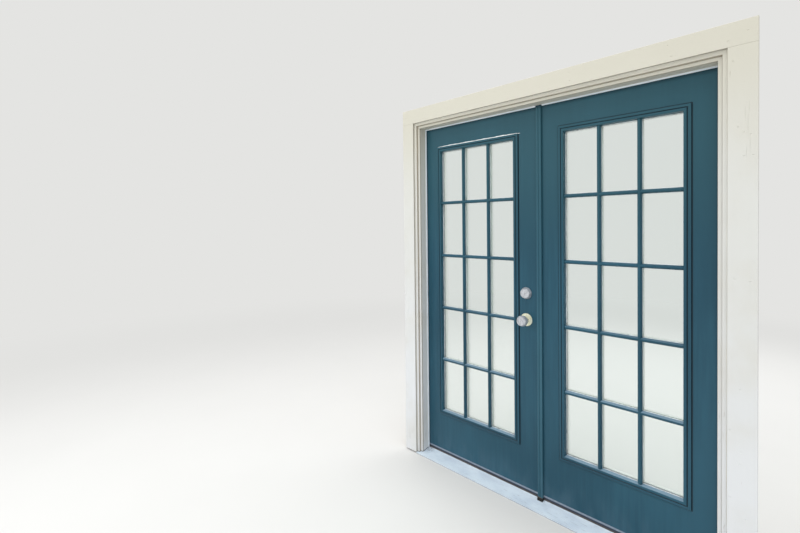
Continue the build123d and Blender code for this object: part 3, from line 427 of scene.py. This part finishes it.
material_of_slot = {
    "painted_trim": trim_upright, "core_wood": edge_wood, "teal_paint": teal_door,
    "white_paint": room_white, "teal_moulding": teal_insert, "white_moulding": room_moulding,
    "glass": pane, "spacer_metal": spacer, "grey_vinyl": sweep_vinyl, "hinge_brass": hinge_metal,
    "white_seal": seal_white, "sill_composite": composite, "mill_aluminium": sill_face,
    "cap_vinyl": cap, "satin_steel": steel, "black_rubber": rubber, "worn_nickel": nickel,
    "pale_brass": brass,
}
material_of_node = {
    "astragal": teal_post, "head_jamb": trim_level, "head_brickmould": trim_level,
    "head_casing": trim_level, "knob_key_plug": nickel, "deadbolt_key_plug": nickel,
}
for part in frame["record"]["subparts"]:
    name = part["node"]
    finish = material_of_node.get(name, material_of_slot[part["material_slot"]])
    nodes[name].data.materials.clear()
    nodes[name].data.materials.append(finish)


# Added pieces: shapes come from bmesh operators, and each rides on the body that carries it

def finished(mesh, name, material, body):
    """Turn a bmesh into a piece of the doors, at the origin with its place in its mesh."""
    bmesh.ops.recalc_face_normals(mesh, faces=mesh.faces)
    data = bpy.data.meshes.new(name)
    mesh.to_mesh(data)
    mesh.free()
    data.materials.append(material)
    piece = bpy.data.objects.new(name, data)
    bpy.context.scene.collection.objects.link(piece)
    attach(piece, body)
    return piece


def edges_of(made):
    """The edges of a new shape, each once and always in the same order."""
    return list(dict.fromkeys(edge for vertex in made["verts"] for edge in vertex.link_edges))


def ease(mesh, edges, edge_round):
    """Round edges over by a small radius."""
    bmesh.ops.bevel(mesh, geom=edges, offset=edge_round, offset_type="OFFSET", segments=2, profile=0.5,
                    affect="EDGES", clamp_overlap=True, material=-1)


def box_between(mesh, low, high, edge_round):
    """Add a box from corner to corner, with its edges eased."""
    size = Vector(high) - Vector(low)
    middle = (Vector(high) + Vector(low)) / 2
    place = Matrix.Translation(middle) @ Matrix.Diagonal((*size, 1))
    made = bmesh.ops.create_cube(mesh, size=1.0, matrix=place)
    ease(mesh, edges_of(made), edge_round)


def carve(piece, cutter):
    """Cut every shape of one bmesh out of a piece."""
    data = bpy.data.meshes.new("cutter")
    cutter.to_mesh(data)
    cutter.free()
    tool = bpy.data.objects.new("cutter", data)
    bpy.context.scene.collection.objects.link(tool)
    cut = piece.modifiers.new("cut", "BOOLEAN")
    cut.object = tool
    cut.solver = "EXACT"
    cut.use_self = True
    shaped = piece.evaluated_get(bpy.context.evaluated_depsgraph_get())
    piece.data = bpy.data.meshes.new_from_object(shaped)
    piece.modifiers.clear()
    bpy.data.objects.remove(tool)


# Casing boards: flat boards with filled nail holes and open grain cracks in their faces

NAIL_DENT = 0.0042
BOARD_EDGE = 0.0014
CRACK_DEPTH = 0.0016


def casing_board(node, dents, cracks, material):
    """A flat trim board in place of its plain one. Dents are (x, z), and cracks add a length and a
    width."""
    low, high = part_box(node)
    board = bmesh.new()
    box_between(board, low, high, BOARD_EDGE)
    piece = finished(board, node + "_board", material, "frame")
    cutter = bmesh.new()
    for x, z in dents:
        place = Matrix.Translation((x, low.y - NAIL_DENT * 0.62, z))
        bmesh.ops.create_uvsphere(cutter, u_segments=12, v_segments=8, radius=NAIL_DENT, matrix=place)
    for x, z, length, width in cracks:
        place = Matrix.Translation((x, low.y, z)) @ Matrix.Diagonal((width, CRACK_DEPTH, length, 1))
        bmesh.ops.create_uvsphere(cutter, u_segments=6, v_segments=8, radius=0.5, matrix=place)
    carve(piece, cutter)
    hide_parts(node)


casing_board(
    "right_casing",
    [(0.807, 2.033), (0.822, 1.792), (0.839, 1.771), (0.858, 1.761), (0.864, 1.686), (0.839, 1.685),
     (0.829, 0.834), (0.800, 0.677), (0.831, 0.604), (0.828, 0.559), (0.800, 0.426), (0.846, 0.361),
     (0.812, 1.240), (0.858, 1.232), (0.810, 0.120), (0.856, 0.112)],
    [(0.842, 1.835, 0.060, 0.0011), (0.850, 1.800, 0.085, 0.0009), (0.856, 1.720, 0.070, 0.0010),
     (0.846, 1.700, 0.050, 0.0008), (0.853, 1.862, 0.045, 0.0008), (0.836, 0.300, 0.050, 0.0008)],
    trim_upright)
casing_board(
    "left_casing",
    [(-0.838, 1.700), (-0.812, 1.700), (-0.815, 1.210), (-0.862, 1.203), (-0.812, 0.640),
     (-0.865, 0.634), (-0.818, 0.150), (-0.860, 0.144), (-0.820, 2.040), (-0.858, 2.034)],
    [(-0.845, 0.900, 0.070, 0.0008)],
    trim_upright)
casing_board(
    "head_casing",
    [(0.793, 2.110), (-0.60, 2.150), (-0.60, 2.108), (-0.20, 2.152), (-0.21, 2.106), (0.20, 2.150),
     (0.205, 2.110), (0.60, 2.152), (0.612, 2.106), (-0.845, 2.130), (0.850, 2.132)],
    [], trim_level)


# Sealant and caulk: ragged beads along straight joints

BEAD_GAP = 0.006
SEALANT_STAND = 0.0009
TOP_CAULK_HEIGHT = 0.0088
TOP_CAULK_STAND = 0.0042
JOINT_CAULK_WIDTH = 0.0034
JOINT_CAULK_STAND = 0.0026
LONG_BEAD_CUTS = 90


def bead(mesh, start, along, across, outwards, breaks=0, cuts=14, waver=0.25):
    """Add a ragged bead from a point: its length, width and height are the lengths of three vectors.
    Its first edge is straight and its far edge wavers. With breaks, it is laid in runs with gaps
    between."""
    stops = sorted(chance.uniform(0.1, 0.9) for _ in range(breaks))
    gap = BEAD_GAP / along.length
    for low, high in zip([0.0] + [stop + gap for stop in stops], stops + [1.0]):
        if high - low < 4 * gap:
            continue
        before = len(mesh.verts)
        made = bmesh.ops.create_cube(mesh, size=1.0, matrix=Matrix.Translation((0.5, 0.5, 0.5)))
        lengthwise = [edge for edge in edges_of(made)
                      if abs(edge.verts[0].co.x - edge.verts[1].co.x) > 0.5]
        bmesh.ops.subdivide_edges(mesh, edges=lengthwise, cuts=cuts)
        mesh.verts.ensure_lookup_table()
        corners = mesh.verts[before:]
        phase = chance.uniform(0, 100)
        for corner in corners:
            u = low + (high - low) * corner.co.x
            width = 0.7 + waver * (math.sin(u * 31 + phase) + 0.8 * math.sin(u * 87 + phase * 3))
            end = min(1.0, 8 * min(corner.co.x, 1 - corner.co.x) + 0.35)
            v = corner.co.y * width * end * (1 - 0.35 * corner.co.z)
            corner.co = start + along * u + across * v + outwards * corner.co.z * end


chance = random.Random(7)
for leaf in ("active", "inactive"):
    lite_low, lite_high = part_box(leaf + "_outer_lite_frame")
    sight_low = lite_low + Vector((SURROUND_WIDTH, 0, SURROUND_WIDTH))
    sight_high = lite_high - Vector((SURROUND_WIDTH, 0, SURROUND_WIDTH))
    pane_width = (sight_high.x - sight_low.x - (PANES_ACROSS - 1) * BAR_WIDTH) / PANES_ACROSS
    pane_height = (sight_high.z - sight_low.z - (PANES_UP - 1) * BAR_WIDTH) / PANES_UP
    lines = bmesh.new()
    for column in range(PANES_ACROSS):
        for row in range(PANES_UP):
            left = sight_low.x + column * (pane_width + BAR_WIDTH)
            low = sight_low.z + row * (pane_height + BAR_WIDTH)
            corner = Vector((left, OUTER_GLASS_FACE, low))
            x_run, z_run = Vector((pane_width, 0, 0)), Vector((0, 0, pane_height))
            inwards, upwards = Vector((SEALANT_WIDTH, 0, 0)), Vector((0, 0, SEALANT_WIDTH))
            proud = Vector((0, -SEALANT_STAND, 0))
            bead(lines, corner, x_run, upwards * 1.2, proud, breaks=chance.choice((0, 0, 1)))
            bead(lines, corner + z_run, x_run, -upwards, proud, breaks=chance.choice((0, 1, 2)))
            bead(lines, corner, z_run, inwards, proud, breaks=chance.choice((0, 0, 1)))
            bead(lines, corner + x_run, z_run, -inwards, proud, breaks=chance.choice((0, 1, 2)))
    finished(lines, leaf + "_pane_sealant", sealant, leaf + "_leaf")

lite_low, lite_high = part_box("active_outer_lite_frame")
top_line = bmesh.new()
bead(top_line, Vector((lite_low.x + 0.002, OUTER_SKIN_FACE, lite_high.z - 0.0010)),
     Vector((lite_high.x - lite_low.x + 0.008, 0, 0)), Vector((0, 0, TOP_CAULK_HEIGHT)),
     Vector((0, -TOP_CAULK_STAND, 0)), cuts=LONG_BEAD_CUTS, waver=0.08)
finished(top_line, "active_lite_top_caulk", sealant, "active_leaf")

trim_caulk = bmesh.new()
mould_low, mould_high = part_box("right_brickmould")
leg_low, leg_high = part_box("right_casing")
leg_run = Vector((0, 0, leg_high.z - leg_low.z - 0.002))
caulk_stand = Vector((0, -JOINT_CAULK_STAND, 0))
for side in (-1, 1):
    bead(trim_caulk, Vector((side * mould_high.x, mould_low.y, leg_low.z + 0.001)), leg_run,
         Vector((-side * JOINT_CAULK_WIDTH, 0, 0)), caulk_stand, cuts=LONG_BEAD_CUTS)
bead(trim_caulk, Vector((-mould_high.x, mould_low.y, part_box("head_casing")[0].z)),
     Vector((2 * mould_high.x, 0, 0)), Vector((0, 0, -JOINT_CAULK_WIDTH)), caulk_stand,
     cuts=LONG_BEAD_CUTS)
finished(trim_caulk, "trim_joint_caulk", caulk, "frame")


# Small fasteners: cross-head screws on the hinges and the lock, and plugs over the screws of the
# inner lite frames

def turned_to(outwards):
    """The matrix that turns a head drawn facing up to face outwards."""
    return Vector(outwards).to_track_quat("Z", "Y").to_matrix().to_4x4()


def screws(name, material, body, radius, outwards, places):
    """Countersunk heads at the given places, each a little proud and turned its own way."""
    heads = bmesh.new()
    crosses = bmesh.new()
    for place in places:
        turned = Matrix.Rotation(chance.uniform(0, math.pi), 4, "Z")
        stand = Matrix.Translation(place) @ turned_to(outwards) @ turned
        middle = stand @ Matrix.Translation((0, 0, radius * 0.07))
        bmesh.ops.create_cone(heads, cap_ends=True, segments=20, radius1=radius, radius2=radius * 0.82,
                              depth=radius * 0.14, matrix=middle)
        slot_size = Matrix.Diagonal((radius * 1.15, radius * 0.24, radius * 0.2, 1))
        for turn in (0, math.pi / 2):
            arm = stand @ Matrix.Translation((0, 0, radius * 0.14)) @ Matrix.Rotation(turn, 4, "Z")
            bmesh.ops.create_cube(crosses, size=1.0, matrix=arm @ slot_size)
    carve(finished(heads, name, material, body), crosses)


HINGE_SCREW_RADIUS = 0.0043
HINGE_SCREWS = [(INNER_SKIN_FACE - inset, height + rise) for height in HINGE_HEIGHTS
                for rise, inset in ((-0.037, 0.011), (-0.013, 0.023), (0.013, 0.011), (0.037, 0.023))]
for side, jamb, leaf in ((-1, "left", "active"), (1, "right", "inactive")):
    edge_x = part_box(leaf + "_core")[0 if side < 0 else 1].x
    screws(leaf + "_hinge_screws", hinge_metal, leaf + "_leaf", HINGE_SCREW_RADIUS,
           (side, 0, 0), [(edge_x, y, z) for y, z in HINGE_SCREWS])
    jamb_x = side * (JAMB_OUTSIDE - JAMB_THICKNESS)
    screws(jamb + "_jamb_hinge_screws", hinge_metal, "frame", HINGE_SCREW_RADIUS,
           (-side, 0, 0), [(jamb_x, y, z) for y, z in HINGE_SCREWS])

lock_places = []
for node in ("latch_faceplate", "deadbolt_faceplate"):
    low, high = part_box(node)
    lock_places += [(high.x, (low.y + high.y) / 2, z) for z in (low.z + 0.0065, high.z - 0.0065)]
screws("lock_edge_screws", steel, "active_leaf", 0.0036, (1, 0, 0), lock_places)
low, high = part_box("lock_strike")
screws("strike_screws", steel, "inactive_leaf", 0.0038, (-1, 0, 0),
       [(low.x, (low.y + high.y) / 2, z) for z in (low.z + 0.008, (low.z + high.z) / 2, high.z - 0.008)])
for node, outwards in (("head_bolt_keeper", -1), ("sill_bolt_keeper", 1)):
    low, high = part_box(node)
    face = low.z if outwards < 0 else high.z
    screws(node + "_screws", steel, "frame", 0.0034, (0, 0, outwards),
           [(x, (low.y + high.y) / 2, face) for x in (low.x + 0.007, high.x - 0.007)])

PLUG_RADIUS = 0.0044
PLUG_DEPTH = 0.0024
PLUG_STAND = 0.0072
PLUG_INSET = 0.0098
PLUG_ROWS = 6
PLUG_CORNER = 0.12
for leaf in ("active", "inactive"):
    low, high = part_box(leaf + "_inner_lite_frame")
    sides = (low.x + PLUG_INSET, high.x - PLUG_INSET)
    foot, top = low.z + PLUG_INSET, high.z - PLUG_INSET
    spacing = (top - foot - 2 * PLUG_CORNER) / (PLUG_ROWS - 1)
    places = [(x, foot + PLUG_CORNER + row * spacing) for x in sides for row in range(PLUG_ROWS)]
    places += [(x, z) for x in (low.x + 0.1, (low.x + high.x) / 2, high.x - 0.1) for z in (foot, top)]
    plugs = bmesh.new()
    for x, z in places:
        stand = Matrix.Translation((x, INNER_SKIN_FACE + PLUG_STAND, z)) @ turned_to((0, 1, 0))
        made = bmesh.ops.create_cone(plugs, cap_ends=True, segments=20, radius1=PLUG_RADIUS,
                                     radius2=PLUG_RADIUS, depth=PLUG_DEPTH, matrix=stand)
        rim = [edge for edge in edges_of(made)
               if min(vertex.co.y for vertex in edge.verts) > INNER_SKIN_FACE + PLUG_STAND]
        ease(plugs, rim, 0.0007)
    finished(plugs, leaf + "_lite_screw_plugs", room_moulding, leaf + "_leaf")


# Stage, light and camera

def soft_lamp(name, place, target, size, power):
    """A large soft lamp at one place, aimed at another."""
    lamp = bpy.data.lights.new(name, "AREA")
    lamp.shape = "RECTANGLE"
    lamp.size, lamp.size_y = size
    lamp.energy = power
    holder = bpy.data.objects.new(name, lamp)
    holder.location = place
    holder.rotation_euler = (Vector(target) - Vector(place)).to_track_quat("-Z", "Y").to_euler()
    holder.visible_camera = holder.visible_glossy = holder.visible_transmission = False
    bpy.context.scene.collection.objects.link(holder)


soft_lamp("key_lamp", (-2.4, -4.2, 2.8), (0, 0, 1.1), (3.2, 2.4), 64)
soft_lamp("fill_lamp", (3.2, -3.8, 2.0), (0, 0, 1.0), (3.0, 2.6), 16)
soft_lamp("room_lamp", (0.5, 4.2, 3.0), (0, 0, 1.0), (3.6, 2.6), 50)
soft_lamp("top_lamp", (0, -0.9, 4.6), (0, -0.4, 0), (4.0, 3.0), 80)

BACKDROP = shade(228, 228, 226)
ground = bmesh.new()
bmesh.ops.create_grid(ground, x_segments=1, y_segments=1, size=40.0)
ground_data = bpy.data.meshes.new("pale_floor")
ground.to_mesh(ground_data)
ground.free()
floor = bpy.data.objects.new("pale_floor", ground_data)
bpy.context.scene.collection.objects.link(floor)
floor_coat = Finish("pale_floor", {"Specular IOR Level": 0.1})
floor_colour = floor_coat.blend(floor_coat.noise(0.5, detail=2.0), shade(226, 226, 224),
                                shade(223, 223, 221))
floor_coat.wear(floor_colour, 0.9, floor_coat.noise(0.01), 0.0002, 0.3)
away = floor_coat.node("ShaderNodeVectorMath", {"operation": "LENGTH"}, {0: floor_coat.place},
                       output="Value")
far_floor = floor_coat.node("ShaderNodeEmission", inputs={"Color": BACKDROP})
floor_shown = floor_coat.node("ShaderNodeMixShader", inputs={
    0: away.rise(2.0, 7.0), 1: Wire(floor_coat, floor_coat.shader.outputs[0]), 2: far_floor})
floor_coat.feed(floor_coat.tree.nodes["Material Output"].inputs["Surface"], floor_shown)
floor.data.materials.append(floor_coat.material)

world = bpy.data.worlds.new("studio")
bpy.context.scene.world = world
world.use_nodes = True
sky = world.node_tree
lighting = sky.nodes["Background"]
lighting.inputs["Color"].default_value = (1.0, 1.0, 1.0, 1.0)
lighting.inputs["Strength"].default_value = 0.80
backdrop = sky.nodes.new("ShaderNodeBackground")
backdrop.inputs["Color"].default_value = BACKDROP
ray = sky.nodes.new("ShaderNodeLightPath")
seen = ray.outputs["Is Camera Ray"]
for kind in ("Is Transmission Ray", "Is Glossy Ray"):
    either = sky.nodes.new("ShaderNodeMath")
    either.operation = "MAXIMUM"
    sky.links.new(seen, either.inputs[0])
    sky.links.new(ray.outputs[kind], either.inputs[1])
    seen = either.outputs[0]
choice = sky.nodes.new("ShaderNodeMixShader")
sky.links.new(seen, choice.inputs[0])
sky.links.new(lighting.outputs[0], choice.inputs[1])
sky.links.new(backdrop.outputs[0], choice.inputs[2])
sky.links.new(choice.outputs[0], sky.nodes["World Output"].inputs["Surface"])

CAMERA_PLACE = (1.0440, -1.9853, 1.4472)
CAMERA_YAW, CAMERA_PITCH, CAMERA_ROLL = (math.radians(angle) for angle in (44.7769, -0.9507, -0.6236))
camera_data = bpy.data.cameras.new("photo_view")
camera_data.sensor_width = 36.0
camera_data.lens = 19.183
camera_data.shift_x = -0.0012
camera_data.shift_y = -0.0421
camera_data.clip_start = 0.02
camera = bpy.data.objects.new("photo_view", camera_data)
bpy.context.scene.collection.objects.link(camera)
ahead = Vector((-math.sin(CAMERA_YAW) * math.cos(CAMERA_PITCH),
                math.cos(CAMERA_YAW) * math.cos(CAMERA_PITCH), math.sin(CAMERA_PITCH)))
level = Vector((math.cos(CAMERA_YAW), math.sin(CAMERA_YAW), 0))
upright = level.cross(ahead)
right = level * math.cos(CAMERA_ROLL) + upright * math.sin(CAMERA_ROLL)
up = upright * math.cos(CAMERA_ROLL) - level * math.sin(CAMERA_ROLL)
turned = Matrix((right, up, -ahead)).transposed().to_4x4()
camera.matrix_world = Matrix.Translation(CAMERA_PLACE) @ turned
bpy.context.scene.camera = camera
bpy.context.scene.view_settings.view_transform = "Standard"
